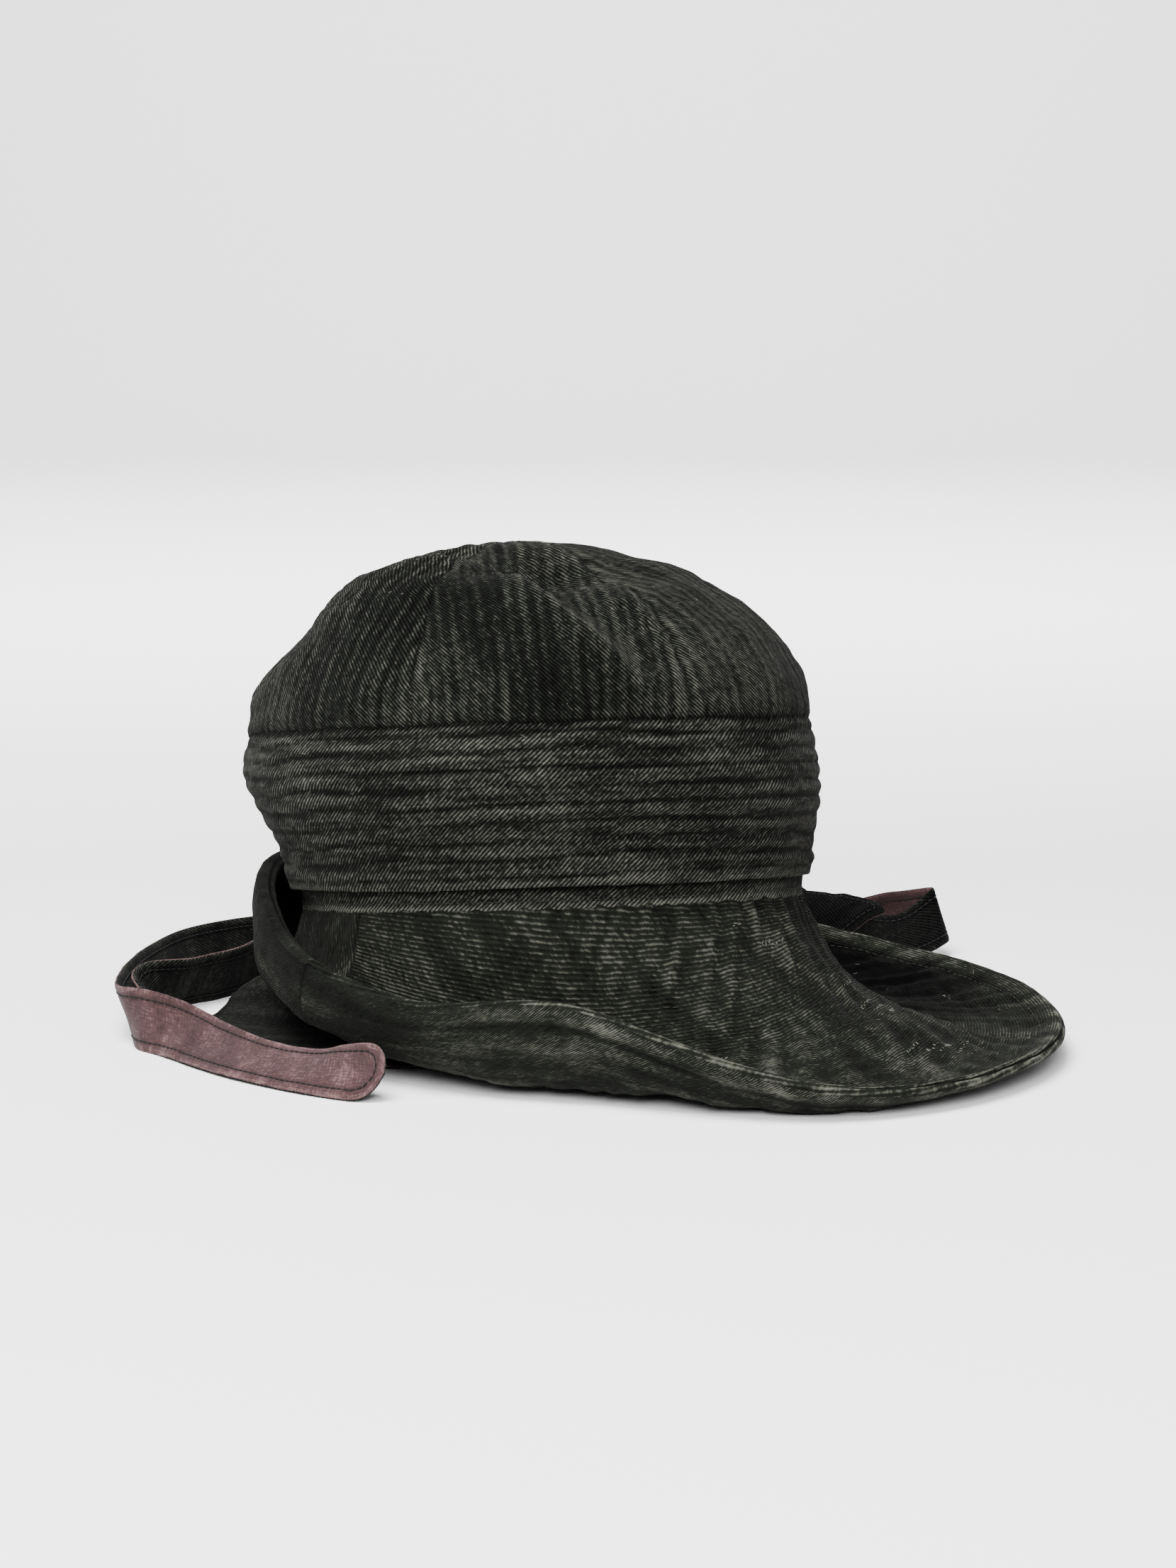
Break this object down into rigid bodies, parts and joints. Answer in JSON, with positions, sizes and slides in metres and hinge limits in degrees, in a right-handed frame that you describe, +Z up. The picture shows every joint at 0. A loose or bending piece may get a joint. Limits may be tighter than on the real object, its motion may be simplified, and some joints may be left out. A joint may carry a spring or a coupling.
{
  "type": "soft hat with ear flaps",
  "caption": "Soft denim hat laid on a surface: panelled crown, tall side band, long brim turned up round the back, and ear flaps with lined straps.",
  "frame": {"origin": "middle of the outline of the hat with its spread flaps and straps, on the surface that it lies on", "axes": "+Z up, +X towards the long front brim, +Y towards the wearer's left"},
  "size_m": [0.3738, 0.3552, 0.1882],
  "materials": {
    "crown_denim": "washed black-green striped denim",
    "brim_denim": "washed black-green twill denim, quilted double",
    "flap_denim": "washed black-green denim",
    "pink_lining": "worn dusty pink plain weave"
  },
  "bodies": {
    "root": {"crown_panel_1": "crown_denim", "crown_panel_2": "crown_denim", "crown_panel_3": "crown_denim", "crown_panel_4": "crown_denim", "crown_panel_5": "crown_denim", "crown_panel_6": "crown_denim", "side_band": "crown_denim", "lower_strip": "crown_denim", "front_brim": "brim_denim", "back_brim": "brim_denim", "right_ear_flap": "flap_denim", "left_ear_flap": "flap_denim", "right_strap": "flap_denim", "left_strap": "flap_denim", "right_flap_lining": "pink_lining", "left_flap_lining": "pink_lining", "right_strap_lining": "pink_lining", "left_strap_lining": "pink_lining"}
  },
  "joints": []
}
